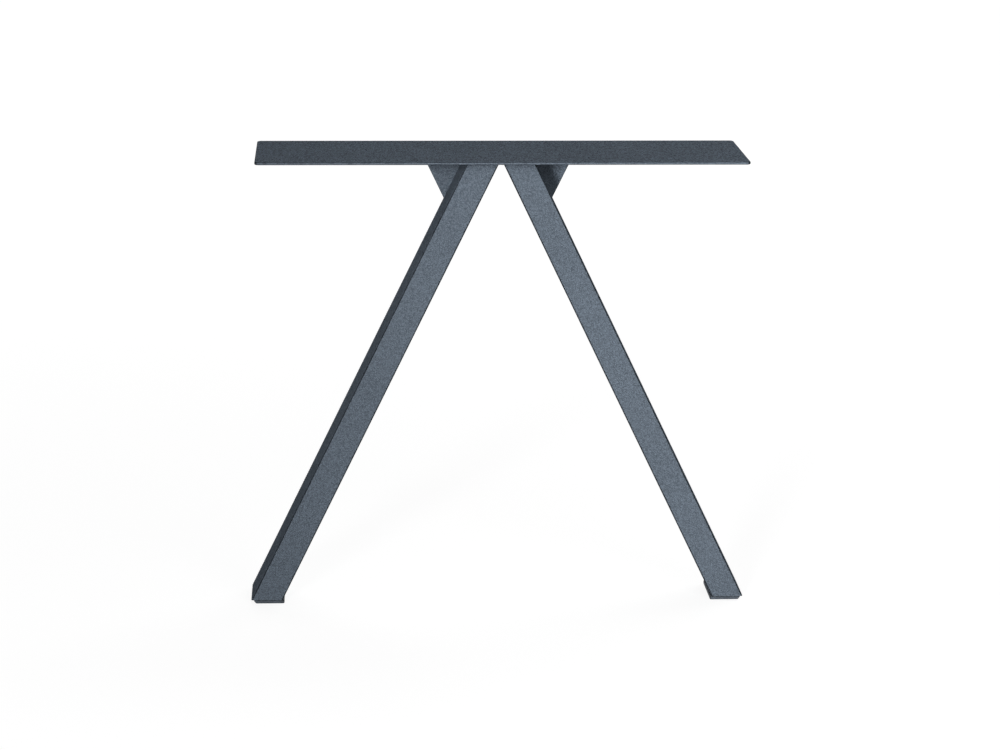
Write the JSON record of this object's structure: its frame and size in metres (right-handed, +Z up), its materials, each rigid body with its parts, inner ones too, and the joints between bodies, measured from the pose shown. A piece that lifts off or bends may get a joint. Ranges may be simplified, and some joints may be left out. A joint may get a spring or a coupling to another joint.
{
  "type": "coffee table leg",
  "caption": "Inverted V coffee table leg: flat top plate on leaning rectangular steel tubes, with gussets behind the tubes and moulded feet.",
  "frame": {"origin": "on the floor, under the middle of the top plate", "axes": "+X along the top plate and across the feet, +Y from the front of the leg to its back, where the gussets are, +Z up"},
  "size_m": [0.437, 0.12, 0.4],
  "materials": {
    "coated_steel": "matt anthracite powder coat with a fine texture",
    "foot_plastic": "fine moulded grain"
  },
  "bodies": {
    "root": {"top_plate": "coated_steel", "left_leg_tube": "coated_steel", "right_leg_tube": "coated_steel", "left_gusset": "coated_steel", "right_gusset": "coated_steel", "left_foot": "foot_plastic", "right_foot": "foot_plastic"}
  },
  "joints": []
}
